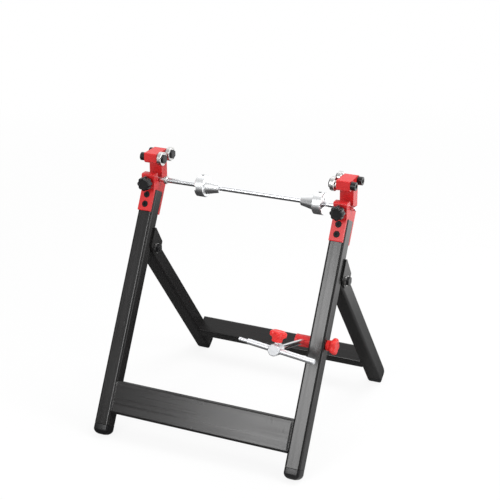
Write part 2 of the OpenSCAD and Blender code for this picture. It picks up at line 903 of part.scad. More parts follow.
module pointer_rod() {
    color(steel) placed() on_arm(arm_reach_front, clamp_roll) {
        rod_along_y(rod_d, -pointer_in + tip_length, pointer_out - 0.8);
        translate([0, pointer_out - 0.8, 0]) rotate([-90, 0, 0])
            cylinder(d1 = rod_d, d2 = rod_d - 1.6, h = 0.8);
    }
}

module pointer_tip() {
    color(steel) placed() on_arm(arm_reach_front, clamp_roll) {
        rod_along_y(tip_d, -pointer_in + 1.2, -pointer_in + tip_length);
        translate([0, -pointer_in, 0]) rotate([-90, 0, 0])
            cylinder(d1 = tip_d - 2.4, d2 = tip_d, h = 1.2);
    }
}

front_leg_left();
front_leg_right();
front_crossbar();
front_welds();
front_foot_caps();
pivot_bracket_left();
pivot_bracket_right();
head_left();
head_right();
head_screws();
bearing_axle_bolts();
axle_spacers();
axle_nuts();
bearing_inner_rings();
bearing_left_front();
bearing_left_rear();
bearing_right_front();
bearing_right_rear();
clamp_stud_left();
clamp_stud_right();
clamp_knob_left();
clamp_knob_right();
balance_shaft();
shaft_stop_ring();
cone_left();
cone_right();
cone_set_screw_left();
cone_set_screw_right();
rear_leg_left();
rear_leg_right();
rear_crossbar();
rear_welds();
rear_foot_caps();
rear_pivot_sleeves();
pivot_bolts();
pivot_washers();
pivot_nuts();
gauge_clamp_block();
gauge_bolt();
gauge_knob_insert();
gauge_star_knob();
gauge_arm_rod();
cross_clamp();
cross_clamp_screw();
cross_clamp_knob();
pointer_rod();
pointer_tip();
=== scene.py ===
"""Looks of a folding stand for balancing and truing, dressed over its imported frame."""

import json
import math

import bmesh
import bpy
from mathutils import Matrix, Vector


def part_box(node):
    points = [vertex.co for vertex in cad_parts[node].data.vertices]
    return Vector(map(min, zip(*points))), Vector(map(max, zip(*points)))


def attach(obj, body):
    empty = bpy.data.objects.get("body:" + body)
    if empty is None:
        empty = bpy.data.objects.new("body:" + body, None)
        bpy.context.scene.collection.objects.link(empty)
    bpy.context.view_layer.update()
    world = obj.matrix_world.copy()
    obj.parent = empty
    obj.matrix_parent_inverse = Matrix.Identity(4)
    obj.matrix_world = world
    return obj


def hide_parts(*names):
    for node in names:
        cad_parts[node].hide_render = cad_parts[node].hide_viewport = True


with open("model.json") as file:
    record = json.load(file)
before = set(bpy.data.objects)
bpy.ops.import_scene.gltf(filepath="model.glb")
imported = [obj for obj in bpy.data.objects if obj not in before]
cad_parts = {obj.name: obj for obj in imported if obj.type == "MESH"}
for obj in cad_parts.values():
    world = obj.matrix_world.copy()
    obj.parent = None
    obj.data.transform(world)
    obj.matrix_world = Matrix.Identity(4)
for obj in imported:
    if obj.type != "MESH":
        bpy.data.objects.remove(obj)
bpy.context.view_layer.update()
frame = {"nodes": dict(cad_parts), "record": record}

bl_info = {
    "name": "Balancing Stand Looks",
    "version": (1, 0, 0),
    "blender": (4, 5, 0),
    "location": "3D View > Sidebar > Stand",
    "description": "Dresses the packed balancing stand and sets its stage",
    "category": "Object",
}

MM = 0.001
TURN = 2 * math.pi


# Settings


def length(name, description, default):
    """A length property in metres, given in millimetres."""
    return bpy.props.FloatProperty(
        name=name, description=description, default=default * MM, unit="LENGTH", precision=5
    )


def tint(name, description, default):
    """A colour property."""
    return bpy.props.FloatVectorProperty(
        name=name, description=description, default=default, subtype="COLOR", min=0, max=1
    )


class StandSizes(bpy.types.PropertyGroup):
    """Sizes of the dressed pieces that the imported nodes' boxes do not give."""

    tube: length("Tube", "Outer side of the square tube", 25)
    tube_corner: length("Tube Corner", "Outer corner radius of the tube", 3.75)
    leg_length: length("Leg Length", "Front leg from foot end to tube top", 396.4)
    rear_leg_length: length("Rear Leg Length", "Rear leg from foot end to pivot", 327.8)
    cap_length: length("Cap Length", "Foot cap below the tube end", 17)
    cap_round: length("Cap Round", "Rounding of a foot cap's front edge", 5)
    cap_side: length("Cap Side", "Rounding of a foot cap's sides", 9)
    cap_heel: length("Cap Heel", "Rounding of a front foot cap's back edge", 9)
    rear_cap_heel: length("Rear Cap Heel", "Rounding of a rear foot cap's back edge", 16)
    front_plate: length("Front Plate", "Thickness of a head's front clamp plate", 5)
    front_lean: bpy.props.FloatProperty(
        name="Front Lean", description="Lean of the front frame from upright",
        default=math.radians(28), subtype="ANGLE",
    )
    rear_lean: bpy.props.FloatProperty(
        name="Rear Lean", description="Lean of the rear frame from upright",
        default=math.radians(38), subtype="ANGLE",
    )
    arm_tilt: bpy.props.FloatProperty(
        name="Arm Tilt", description="Tilt of the gauge's arm rod from level",
        default=math.radians(16.7), subtype="ANGLE",
    )
    clamp_roll: bpy.props.FloatProperty(
        name="Clamp Roll", description="Roll of the cross clamp about the arm rod",
        default=math.radians(6), subtype="ANGLE",
    )
    shaft_behind: length("Shaft Behind", "Shaft axis behind the bend of a head", 20.5)
    shaft_above: length("Shaft Above", "Shaft axis above the bend of a head", 10.6)
    knob: length("Clamp Knob", "Diameter of a clamp knob", 23)
    star: length("Star Knob", "Diameter over a star knob's lobes", 26)
    star_hub: length("Star Hub", "Diameter of a star knob's hub", 15.5)
    star_lift: length("Star Lift", "Upper star knob's hub above the pointer's axis", 12.25)
    arm_reach: length("Arm Reach", "Arm rod from the gauge bolt to the pointer", 113.3)
    bead_step: length("Bead Step", "Distance between the ripples of a weld bead", 2.4)
    face_bead: length("Face Bead", "Radius of a weld bead on the front faces", 2.9)
    back_bead: length("Back Bead", "Radius of a weld bead sunk into the back faces", 2.1)
    lower_bead: length("Lower Bead", "Radius of the bead below the rear crossbar", 1.9)
    front_bead_low: length("Front Bead Low", "Low end of a front bead above the foot end", 39)
    front_bead_high: length("Front Bead High", "High end of a front bead above the foot end", 86)
    rear_bead_low: length("Rear Bead Low", "Low end of a rear bead above the foot end", 54.5)
    rear_bead_high: length("Rear Bead High", "High end of a rear bead above the foot end", 70)
    shaft_bore: length("Shaft Bore", "Bore radius of what sits on the shaft or a bolt", 4.05)
    inner_ring: length("Inner Ring", "Outer radius of a bearing's inner ring", 6.05)
    shield: length("Shield", "Inner radius of a bearing's shields", 6.2)
    tip: length("Tip", "Radius of the pointer's threaded tip", 2.75)
    tip_length: length("Tip Length", "Length of the pointer's threaded tip", 14.5)
    tip_reach: length("Tip Reach", "Start of the tip's thread from the cross clamp", 58)
    clamp_screw: length("Clamp Screw", "Radius of the cross clamp's screw", 3)
    clamp_screw_low: length("Clamp Screw Low", "Screw's low end above the pointer's axis", 4.35)
    clamp_screw_high: length("Clamp Screw High", "Screw's high end above the pointer's axis", 24)
    edge_round: length("Edge Round", "Rounding of machined and coated edges", 0.6)
    screw_edge: length("Screw Edge", "Rounding of the fasteners' edges", 0.35)
    thread_pitch: length("Thread Pitch", "Distance between the turns of a thread", 1)


class StandColours(bpy.types.PropertyGroup):
    """Base colours of the stand's finishes."""

    black_coat: tint("Black Coat", "Satin powder coat of the frame", (0.0105, 0.010, 0.010))
    red_coat: tint("Red Coat", "Glossy powder coat of the heads", (0.61, 0.017, 0.019))
    red_plastic: tint("Red Plastic", "Moulded star knobs", (0.72, 0.022, 0.020))
    black_plastic: tint("Black Plastic", "Foot caps and clamp knobs", (0.007, 0.007, 0.008))
    bright_steel: tint("Bright Steel", "Shaft, arm rod and studs", (0.78, 0.79, 0.81))
    plain_steel: tint("Plain Steel", "Bearings, washers and sleeves", (0.58, 0.58, 0.57))
    dark_steel: tint("Dark Steel", "Blackened screws and nuts", (0.009, 0.009, 0.010))
    aluminium: tint("Aluminium", "Cones on the shaft", (0.82, 0.83, 0.84))
    dull_aluminium: tint("Dull Aluminium", "Cross clamp and pointer", (0.66, 0.67, 0.69))


def sizes():
    """The scene's sizes of the stand."""
    return bpy.context.scene.stand_sizes


def colours():
    """The scene's base colours of the stand."""
    return bpy.context.scene.stand_colours


# Shader building


class Value:
    """Wraps a shader socket, so that arithmetic on it adds Math nodes."""

    def __init__(self, graph, socket):
        self.graph, self.socket = graph, socket

    def maths(self, operation, first, second):
        return self.graph.add("ShaderNodeMath", {"operation": operation}, {0: first, 1: second})

    def __add__(self, other):
        return self.maths("ADD", self, other)

    __radd__ = __add__

    def __sub__(self, other):
        return self.maths("SUBTRACT", self, other)

    def __rsub__(self, other):
        return self.maths("SUBTRACT", other, self)

    def __mul__(self, other):
        return self.maths("MULTIPLY", self, other)

    __rmul__ = __mul__

    def __truediv__(self, other):
        return self.maths("DIVIDE", self, other)

    def __pow__(self, other):
        return self.maths("POWER", self, other)


class Graph:
    """Adds nodes to one node tree."""

    def __init__(self, tree):
        self.tree = tree

    def feed(self, socket, value):
        """Links a Value to the socket, or sets a plain value on it."""
        if isinstance(value, Value):
            self.tree.links.new(value.socket, socket)
        else:
            socket.default_value = value

    def add(self, kind, settings, inputs, output=0):
        """Adds a node, sets it up, fills its sockets and returns one output as a Value."""
        node = self.tree.nodes.new(kind)
        for key, value in settings.items():
            if key == "stops":
                ramp = node.color_ramp.elements
                for element, (place, level) in zip(ramp, value):
                    element.position = place
                    element.color = (level, level, level, 1)
            else:
                setattr(node, key, value)
        for key, value in inputs.items():
            self.feed(node.inputs[key], value)
        return None if output is None else Value(self, node.outputs[output])

    def ramp(self, value, low, high):
        """0 below low and 1 above high."""
        return self.add("ShaderNodeValToRGB", {"stops": ((low, 0), (high, 1))}, {0: value})

    def along(self, point, axis):
        """How far the point lies along an axis."""
        return self.add(
            "ShaderNodeVectorMath", {"operation": "DOT_PRODUCT"}, {0: point, 1: axis}, 1
        )


class Finish(Graph):
    """One procedural material on the Principled shader."""

    def __init__(self, name, uniform):
        self.material = bpy.data.materials.new(name)
        self.material.use_nodes = True
        super().__init__(self.material.node_tree)
        self.shader = self.tree.nodes["Principled BSDF"]
        for socket, value in uniform.items():
            self.shader.inputs[socket].default_value = value
        self.material.diffuse_color = uniform["Base Color"]

    def place(self, centre=(0, 0, 0), turn=(0, 0, 0), stretch=(1, 1, 1)):
        """Object coordinates about a centre, turned and stretched."""
        point = self.add("ShaderNodeTexCoord", {}, {}, "Object")
        moved = self.add(
            "ShaderNodeVectorMath", {"operation": "SUBTRACT"}, {0: point, 1: centre}
        )
        return self.add(
            "ShaderNodeMapping", {}, {"Vector": moved, "Rotation": turn, "Scale": stretch}
        )

    def noise(self, scale, detail=2.0, stretch=(1, 1, 1)):
        """Cloudy values between 0 and 1."""
        return self.add("ShaderNodeTexNoise", {}, {
            "Vector": self.place(stretch=stretch), "Scale": scale, "Detail": detail})

    def drawing_lines(self, turn):
        """Fine lines along a tube, whose length the turn lays along local Z."""
        along = self.add("ShaderNodeMapping", {}, {
            "Vector": self.place(turn=turn), "Scale": (1, 1, 0.012)})
        return self.add("ShaderNodeTexNoise", {}, {
            "Vector": along, "Scale": 260, "Detail": 3, "Roughness": 0.6})

    def mix(self, factor, first, second):
        return self.add(
            "ShaderNodeMix", {"data_type": "RGBA"}, {0: factor, 6: first, 7: second}, 2
        )

    def set(self, socket, value):
        self.feed(self.shader.inputs[socket], value)

    def bump(self, height, strength, depth):
        self.set("Normal", self.add(
            "ShaderNodeBump", {}, {"Height": height, "Strength": strength, "Distance": depth}
        ))


def shade(colour, level):
    """A colour made darker or lighter, with alpha."""
    return tuple(min(1.0, c * level) for c in colour[:3]) + (1.0,)


def coated(name, colour, rough, scuff, grain=1300, spread=0.14, gloss=0.42, tube_turn=None):
    """Powder coat: orange peel, glossier patches, pale scuffs and a tube's drawing lines."""
    finish = Finish(name, {"Base Color": shade(colour, 1), "Specular IOR Level": gloss})
    patches = finish.noise(scale=9, detail=3)
    height, depth = finish.noise(scale=grain, detail=1), 0.25 * MM
    scuffs = finish.ramp(finish.noise(scale=150, detail=4, stretch=(1, 1, 0.22)), 0.68, 0.80)
    tone = finish.mix(patches, shade(colour, 1 - spread), shade(colour, 1 + spread))
    rough_map = rough - 0.05 + patches * 0.1 + scuffs * 0.1
    if tube_turn:
        lines = finish.drawing_lines(tube_turn)
        tone = finish.mix(lines, tone, shade(colour, 1 + 3 * spread))
        rough_map = rough_map + (lines - 0.5) * 0.16
        height, depth = height + lines * 1.5, 0.1 * MM
    finish.set("Base Color", finish.mix(scuffs * 0.2, tone, scuff))
    finish.set("Roughness", rough_map)
    finish.bump(height, strength=0.16, depth=depth)
    return finish.material


def moulded(name, colour, rough, grain, gloss):
    """Moulded plastic: fine spark-eroded grain and slight flow marks."""
    finish = Finish(name, {"Base Color": shade(colour, 1), "Specular IOR Level": gloss})
    flow = finish.noise(scale=24, detail=4, stretch=(1, 1, 2.5))
    finish.set("Base Color", finish.mix(flow, shade(colour, 0.88), shade(colour, 1.14)))
    finish.set("Roughness", rough - 0.06 + flow * 0.12)
    finish.bump(finish.noise(scale=grain, detail=3), strength=0.2, depth=0.1 * MM)
    return finish.material


def bare_metal(name, colour, rough, stretch=(1, 1, 1), depth=0.04 * MM, metallic=1.0, gloss=0.5):
    """Ground or drawn metal: fine streaks along one axis and a few dull patches."""
    finish = Finish(name, {"Base Color": shade(colour, 1), "Metallic": metallic,
                           "Specular IOR Level": gloss})
    streaks = finish.noise(scale=1100, detail=2, stretch=stretch)
    patches = finish.noise(scale=32, detail=4)
    finish.set("Base Color", finish.mix(patches, shade(colour, 0.90), shade(colour, 1.06)))
    finish.set("Roughness", rough - 0.05 + streaks * 0.06 + patches * 0.08)
    finish.bump(streaks, strength=0.1, depth=depth)
    return finish.material


def turned_metal(name, colour, rough, centre, turn):
    """Metal turned on a lathe about local Z at the centre: rings along it and on its faces."""
    finish = Finish(name, {"Base Color": shade(colour, 1), "Metallic": 1.0})
    pitch = 0.45 * MM
    point = finish.place(centre, turn)
    x, y, z = (finish.add("ShaderNodeSeparateXYZ", {}, {0: point}, i) for i in range(3))
    out = (x * x + y * y) ** 0.5
    rings = finish.add("ShaderNodeTexNoise", {"noise_dimensions": "1D"}, {
        "W": (out + z) / pitch, "Scale": 1.0, "Detail": 2.0})
    patches = finish.noise(scale=40, detail=4)
    tone = finish.mix(rings, shade(colour, 0.90), shade(colour, 1.06))
    finish.set("Base Color", finish.mix(patches * 0.3, tone, shade(colour, 0.86)))
    finish.set("Roughness", rough - 0.06 + rings * 0.08 + patches * 0.06)
    finish.bump(rings, strength=0.22, depth=0.12 * MM)
    return finish.material


FINISHES = {}


def finish_of(slot):
    """The finish made for a slot, or for a look of its own."""
    return FINISHES[slot]


def make_finishes():
    """Makes every finish that more than one piece may wear."""
    c, s = colours(), sizes()
    shaft = tuple(centre_of("balance_shaft"))
    across = (0, math.pi / 2, 0)
    black_scuff, red_scuff = (0.09, 0.09, 0.09, 1), (0.62, 0.06, 0.06, 1)
    FINISHES.update({
        "black_paint": coated("satin_black_coat", c.black_coat, 0.26, black_scuff),
        "bead": coated("bead_coat", c.black_coat, 0.22, black_scuff, grain=500, spread=0.3,
                       gloss=1.0),
        "red_paint": coated("gloss_red_coat", c.red_coat, 0.36, red_scuff, grain=1100,
                            spread=0.05, gloss=0.38),
        "red_plastic": moulded("red_moulding", c.red_plastic, 0.36, grain=1800, gloss=0.38),
        "black_plastic": moulded("black_moulding", c.black_plastic, 0.30, grain=1500, gloss=0.42),
        "bright_steel": bare_metal("ground_steel", c.bright_steel, 0.22, stretch=(0.02, 1, 1)),
        "rod_steel": bare_metal("rod_chrome", c.bright_steel, 0.14, depth=0.02 * MM),
        "plain_steel": bare_metal("bearing_steel", c.plain_steel, 0.28, stretch=(1, 0.3, 0.3)),
        "blackened_steel": bare_metal("blackened_steel", c.dark_steel, 0.34, depth=0.06 * MM,
                                      metallic=0.0, gloss=0.32),
        "sunk_screw": bare_metal("sunk_screw", c.dark_steel, 0.42, depth=0.06 * MM,
                                 metallic=0.0, gloss=0.14),
        "turned_aluminium": turned_metal("turned_aluminium", c.aluminium, 0.34, shaft, across),
    })
    for tube, turn in (("front_tube", (s.front_lean, 0, 0)), ("rear_tube", (-s.rear_lean, 0, 0)),
                       ("cross_tube", across)):
        FINISHES[tube] = coated(f"{tube}_coat", c.black_coat, 0.23, black_scuff, tube_turn=turn)


# Mesh building


def centre_of(node):
    """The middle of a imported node's box."""
    low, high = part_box(node)
    return (low + high) / 2


def along_x(origin):
    """Local Z along the row's X."""
    return Matrix.Translation(origin) @ Matrix.Rotation(math.pi / 2, 4, "Y")


def along_minus_y(origin):
    """Local Z towards the front."""
    return Matrix.Translation(origin) @ Matrix.Rotation(math.pi / 2, 4, "X")


def bend_point(side):
    """The bend of a head, at the middle of its width."""
    shaft, s = centre_of("balance_shaft"), sizes()
    x = centre_of("head_right" if side > 0 else "head_left").x
    return Vector((x, shaft.y - s.shaft_behind, shaft.z - s.shaft_above))


def on_front(side):
    """Local X across, Y into the front leg from its front face, Z up from its foot end."""
    s = sizes()
    turn = Matrix.Rotation(-s.front_lean, 4, "X")
    back = turn @ Vector((0, -s.front_plate, s.leg_length))
    return Matrix.Translation(bend_point(side) - back) @ turn


def on_rear(side):
    """Local X across, Y into the rear leg from its front face, Z up to the pivot at 0."""
    s = sizes()
    pivot = centre_of("pivot_bolts")
    x = centre_of("rear_leg_right" if side > 0 else "rear_leg_left").x
    turn = Matrix.Rotation(s.rear_lean, 4, "X")
    forward = Matrix.Translation((0, -s.tube / 2, 0))
    return Matrix.Translation((x, pivot.y, pivot.z)) @ turn @ forward


def cross_centre():
    """Where the pointer's axis crosses the arm rod's."""
    s, bolt = sizes(), centre_of("gauge_bolt")
    return Vector((
        centre_of("gauge_arm_rod").x, bolt.y - s.arm_reach * math.cos(s.arm_tilt),
        bolt.z + s.arm_reach * math.sin(s.arm_tilt)))


def on_cross():
    """Local X along the pointer, Y back down the arm rod, Z up along the clamp screw."""
    s = sizes()
    tilt = Matrix.Rotation(-s.arm_tilt, 4, "X")
    roll = Matrix.Rotation(s.clamp_roll, 4, "Y")
    return Matrix.Translation(cross_centre()) @ tilt @ roll


def sharpen(bm):
    """Smooth faces, with hard edges where two faces meet at more than 32 degrees."""
    hard = math.radians(32)
    for face in bm.faces:
        face.smooth = True
    for edge in bm.edges:
        edge.smooth = len(edge.link_faces) == 2 and edge.calc_face_angle(0) < hard


def add_piece(name, bm, body, slot, nodes=(), material=None, matrix=Matrix()):
    """Makes the piece from its bmesh, in place, and rides it on its body."""
    bmesh.ops.transform(bm, matrix=matrix, verts=bm.verts)
    bmesh.ops.remove_doubles(bm, verts=bm.verts, dist=1e-6)
    bmesh.ops.recalc_face_normals(bm, faces=bm.faces)
    sharpen(bm)
    mesh = bpy.data.meshes.new(name)
    bm.to_mesh(mesh)
    bm.free()
    if not mesh.polygons:
        raise RuntimeError(f"{name} came out empty")
    piece = bpy.data.objects.new(name, mesh)
    bpy.context.scene.collection.objects.link(piece)
    mesh.materials.append(material or finish_of(slot))
    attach(piece, body)
    if nodes:
        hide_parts(*nodes)
    return piece


def lathe(bm, outline, steps, matrix=Matrix()):
    """Spins an outline of (radius, height) points about local Z and places what it made."""
    earlier = set(bm.verts)
    verts = [bm.verts.new((r, 0, z)) for r, z in outline]
    edges = [bm.edges.new(pair) for pair in zip(verts, verts[1:])]
    bmesh.ops.spin(
        bm, geom=verts + edges, cent=(0, 0, 0), axis=(0, 0, 1), dvec=(0, 0, 0),
        angle=TURN, steps=steps, use_merge=True, use_duplicate=False,
    )
    made = [v for v in bm.verts if v not in earlier]
    bmesh.ops.remove_doubles(bm, verts=made, dist=1e-7)
    made = [v for v in bm.verts if v not in earlier]
    bmesh.ops.transform(bm, matrix=matrix, verts=made)


def ring_outline(inner, outer, low, high, ease):
    """Closed outline of a plain ring with eased outer edges."""
    return [
        (inner, low), (outer - ease, low), (outer, low + ease),
        (outer, high - ease), (outer - ease, high), (inner, high), (inner, low),
    ]


def thread_outline(radius, low, high, pitch, depth, ease):
    """Outline of a threaded stud with closed ends, as rings of the thread's pitch."""
    points = [(0, low), (radius - ease, low), (radius, low + ease)]
    z, crest = low + ease, 0.12 * pitch
    while z + pitch < high - ease:
        points += [(radius, z + crest), (radius - depth, z + pitch / 2),
                   (radius, z + pitch - crest)]
        z += pitch
    return points + [(radius, high - ease), (radius - ease, high), (0, high)]


def rounded_square(side, corner):
    """Outline of a square about the origin with rounded corners, as (x, y) points."""
    reach, steps = side / 2 - corner, 6
    points = []
    for quarter in range(4):
        turn = quarter * math.pi / 2
        cx = reach * (math.cos(turn) - math.sin(turn))
        cy = reach * (math.sin(turn) + math.cos(turn))
        for i in range(steps + 1):
            a = turn + i / steps * math.pi / 2
            points.append((cx + corner * math.cos(a), cy + corner * math.sin(a)))
    return points


def stacked(bm, rings):
    """Closed solid through rings of points, joined one to the next and capped."""
    loops = []
    for ring in rings:
        verts = [bm.verts.new(p) for p in ring]
        loops.append([bm.edges.new(pair) for pair in zip(verts, verts[1:] + verts[:1])])
    for low, high in zip(loops, loops[1:]):
        bmesh.ops.bridge_loops(bm, edges=low + high)
    for loop in (loops[0], loops[-1]):
        bmesh.ops.holes_fill(bm, edges=loop, sides=0)


def fluted(bm, radius, levels, lobes, depth, roundness):
    """Lobed grip: levels are (height, share of the radius, share of the flutes' depth)."""
    segments = 160
    rings = []
    for height, share, flute in levels:
        ring = []
        for i in range(segments):
            a = i / segments * TURN
            valley = ((1 - math.cos(lobes * a)) / 2) ** roundness
            r = radius * share * (1 - depth * flute * valley)
            ring.append((r * math.cos(a), r * math.sin(a), height))
        rings.append(ring)
    stacked(bm, rings)


def eased_copy(name, node, body, slot, width, segments=2, material=None):
    """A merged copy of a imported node's mesh with its sharp edges rounded."""
    bm = bmesh.new()
    bm.from_mesh(frame["nodes"][node].data)
    bmesh.ops.remove_doubles(bm, verts=bm.verts, dist=2e-6)
    bmesh.ops.dissolve_limit(
        bm, angle_limit=math.radians(0.6), use_dissolve_boundaries=False,
        verts=bm.verts, edges=bm.edges, delimit={"NORMAL"})
    piece = add_piece(name, bm, body, slot, (node,), material)
    bevel = piece.modifiers.new("eased edges", "BEVEL")
    bevel.width = width
    bevel.segments = segments
    bevel.limit_method = "ANGLE"
    bevel.angle_limit = math.radians(30)
    bevel.harden_normals = True
    bevel.use_clamp_overlap = True
    return piece


# Operators


class STAND_OT_finishes(bpy.types.Operator):
    """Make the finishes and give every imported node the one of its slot."""

    bl_idname = "stand.finishes"
    bl_label = "Finishes"

    def execute(self, context):
        make_finishes()
        looks = {s["node"]: s["material_slot"] for s in frame["record"]["subparts"]}
        looks.update({
            "gauge_arm_rod": "rod_steel",
            "front_leg_left": "front_tube", "front_leg_right": "front_tube",
            "rear_leg_left": "rear_tube", "rear_leg_right": "rear_tube",
            "front_crossbar": "cross_tube", "rear_crossbar": "cross_tube",
        })
        for name, node in frame["nodes"].items():
            node.data.materials.clear()
            node.data.materials.append(finish_of(looks[name]))
        return {"FINISHED"}


class STAND_OT_heads(bpy.types.Operator):
    """Round the edges of the coated heads and pivot brackets."""

    bl_idname = "stand.heads"
    bl_label = "Heads and Brackets"

    def execute(self, context):
        s = sizes()
        for side in ("left", "right"):
            eased_copy(f"head_casting_{side}", f"head_{side}", "front_stand", "red_paint",
                       s.edge_round, segments=3)
            eased_copy(f"fold_bracket_{side}", f"pivot_bracket_{side}", "front_stand",
                       "black_paint", s.screw_edge)
        return {"FINISHED"}


class STAND_OT_fasteners(bpy.types.Operator):
    """Round the edges of the screws, bolts and nuts."""

    bl_idname = "stand.fasteners"
    bl_label = "Fasteners"

    def execute(self, context):
        s = sizes()
        for node in ("head_screws", "bearing_axle_bolts", "axle_nuts", "pivot_bolts",
                     "pivot_nuts"):
            look = "sunk_screw" if node == "head_screws" else "blackened_steel"
            eased_copy(f"{node}_eased", node, "front_stand", "blackened_steel", s.screw_edge,
                       material=finish_of(look))
        return {"FINISHED"}


class STAND_OT_foot_caps(bpy.types.Operator):
    """Mould the rounded plastic caps on the four feet."""

    bl_idname = "stand.foot_caps"
    bl_label = "Foot Caps"

    def cap(self, place, ends):
        """A closed block of the tube's outline, rounded in by ends at back, front and sides."""
        s = sizes()
        bm = bmesh.new()
        half, seam, seam_edge = s.tube / 2, 0.9 * MM, 0.5 * MM
        outline = rounded_square(s.tube, s.tube_corner)
        heights = [s.cap_length, s.cap_length - seam_edge, s.cap_length - seam]
        steps = 16
        heights += [ends[0] * (1 - math.sin(i / steps * math.pi / 2)) for i in range(steps + 1)]
        rings = []
        for z in heights:
            dent = 0.9 * max(0.0, seam - (s.cap_length - z))
            back, front, side = (
                dent + end - math.sqrt(max(0.0, end * end - max(0.0, end - z) ** 2))
                for end in ends)
            wide, deep = 1 - side / half, 1 - (back + front) / s.tube
            shift = (front - back) / 2
            rings.append([(x * wide, y * deep + shift, z) for x, y in outline])
        stacked(bm, rings)
        middle = Matrix.Translation((0, half, 0))
        bmesh.ops.transform(bm, matrix=place @ middle, verts=bm.verts)
        cut = bmesh.ops.bisect_plane(
            bm, geom=bm.verts[:] + bm.edges[:] + bm.faces[:], plane_co=(0, 0, 0),
            plane_no=(0, 0, -1), clear_outer=True)["geom_cut"]
        bmesh.ops.holes_fill(
            bm, edges=[g for g in cut if isinstance(g, bmesh.types.BMEdge)], sides=0)
        return bm

    def execute(self, context):
        s = sizes()
        to_foot = Matrix.Translation((0, 0, -s.rear_leg_length))
        for side, word in ((-1, "left"), (1, "right")):
            for end, body, place, rounding in (
                ("front", "front_stand", on_front(side), (s.cap_heel, s.cap_heel, s.cap_side)),
                ("rear", "rear_frame", on_rear(side) @ to_foot,
                 (s.rear_cap_heel, s.cap_round, s.cap_side)),
            ):
                replaced = (f"{end}_foot_caps",) if side > 0 else ()
                add_piece(f"{end}_cap_{word}", self.cap(place, rounding), body,
                          "black_plastic", replaced)
        return {"FINISHED"}


class STAND_OT_weld_beads(bpy.types.Operator):
    """Lay rippled weld beads where the crossbars meet the legs."""

    bl_idname = "stand.weld_beads"
    bl_label = "Weld Beads"

    def bead(self, bm, start, end, radius):
        """One bead from start to end, swelling and thinning with each step of the torch."""
        run = end - start
        turn = run.to_track_quat("Z", "Y").to_matrix()
        ripples = max(3, round(run.length / sizes().bead_step))
        steps, corners = 6 * ripples, 12
        trough, end_size = 0.68, 0.35
        rings = []
        for i in range(steps + 1):
            share = i / steps
            swell = trough + (1 - trough) * abs(math.sin(share * ripples * math.pi))
            close = min(1.0, end_size + 8 * min(share, 1 - share))
            r, middle = radius * swell * close, start + run * share
            rings.append([
                middle + turn @ Vector((r * math.cos(a), r * math.sin(a), 0))
                for a in (k / corners * TURN for k in range(corners))])
        stacked(bm, rings)

    def execute(self, context):
        s = sizes()
        beside, below, inset = s.tube / 2 + 0.2 * MM, 3.6 * MM, 3 * MM
        face = (0.6 * MM, s.face_bead)
        back = (s.tube - 1.1 * s.back_bead, s.back_bead)
        sunk = (1.1 * s.back_bead, s.back_bead)
        rear_foot = -s.rear_leg_length
        for name, place, body, node, low, high, beads in (
            ("front_beads", on_front, "front_stand", "front_welds",
             s.front_bead_low, s.front_bead_high, (face, back)),
            ("rear_beads", on_rear, "rear_frame", "rear_welds",
             rear_foot + s.rear_bead_low, rear_foot + s.rear_bead_high, (sunk,)),
        ):
            bm = bmesh.new()
            for side in (-1, 1):
                matrix = place(side)
                x = -side * beside
                for y, radius in beads:
                    self.bead(bm, matrix @ Vector((x, y, low)), matrix @ Vector((x, y, high)),
                              radius)
                if body == "rear_frame":
                    x, z = -side * (beside + 0.7 * MM), low - below
                    self.bead(bm, matrix @ Vector((x, inset, z)),
                              matrix @ Vector((x, s.tube - inset, z)), s.lower_bead)
            add_piece(name, bm, body, "black_paint", (node,), finish_of("bead"))
        return {"FINISHED"}


class STAND_OT_bearings(bpy.types.Operator):
    """Turn the balancing bearings with their rings and shields."""

    bl_idname = "stand.bearings"
    bl_label = "Bearings"

    def execute(self, context):
        s = sizes()
        wall, ease, recess = 1.9 * MM, 0.5 * MM, 0.35 * MM
        inner = bmesh.new()
        for side in ("left", "right"):
            for end in ("front", "rear"):
                node = f"bearing_{side}_{end}"
                low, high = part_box(node)
                half, r = (high.x - low.x) / 2, (high.z - low.z) / 2
                land, sunk = r - wall, half - recess
                place = along_x((low + high) / 2)
                outer = bmesh.new()
                lathe(outer, [
                    (s.shield, -sunk), (land - ease, -sunk), (land, -half), (r - ease, -half),
                    (r, ease - half), (r, half - ease), (r - ease, half), (land, half),
                    (land - ease, sunk), (s.shield, sunk), (s.shield, -sunk)], steps=72)
                add_piece(f"outer_ring_{side}_{end}", outer, node, "plain_steel", (node,),
                          matrix=place)
                lathe(inner, ring_outline(s.shaft_bore, s.inner_ring, -half, half,
                                          ease=0.3 * MM), steps=48, matrix=place)
        add_piece("inner_rings", inner, "front_stand", "plain_steel", ("bearing_inner_rings",))
        return {"FINISHED"}


# Grip profiles from the face at the stud outwards: height in mm, share of the radius, share of
# the flutes' depth. A clamp knob's outer levels are measured back from its outer face, and the
# radius of a star knob's hub is given as what it adds to the hub's own share.
KNOB_INNER = ((0.4, 0.62, 0), (0, 0.66, 0), (0.1, 0.76, 0.6), (0.5, 0.90, 0.9),
              (1.5, 0.97, 1), (3, 1, 1))
KNOB_OUTER = ((3, 1, 1), (1.7, 0.98, 1), (0.8, 0.93, 0.95), (0.2, 0.84, 0.8), (0, 0.74, 0.5),
              (0.05, 0.62, 0), (0.5, 0.57, 0))
STAR_HUB = ((0.5, -0.09, 0), (0, -0.05, 0), (0.1, -0.02, 0), (0.6, 0, 0), (4.2, 0.01, 0),
            (5.6, 0.05, 0.1), (6.8, 0.14, 0.4))
STAR_LOBES = ((7.7, 0.86, 0.8), (8.6, 0.95, 1), (9.8, 0.99, 1), (11, 1, 1), (13.2, 0.995, 1),
              (14.5, 0.96, 1), (15.4, 0.885, 0.95), (15.8, 0.78, 0.8), (16, 0.66, 0.5),
              (15.9, 0.47, 0), (15.4, 0.43, 0))


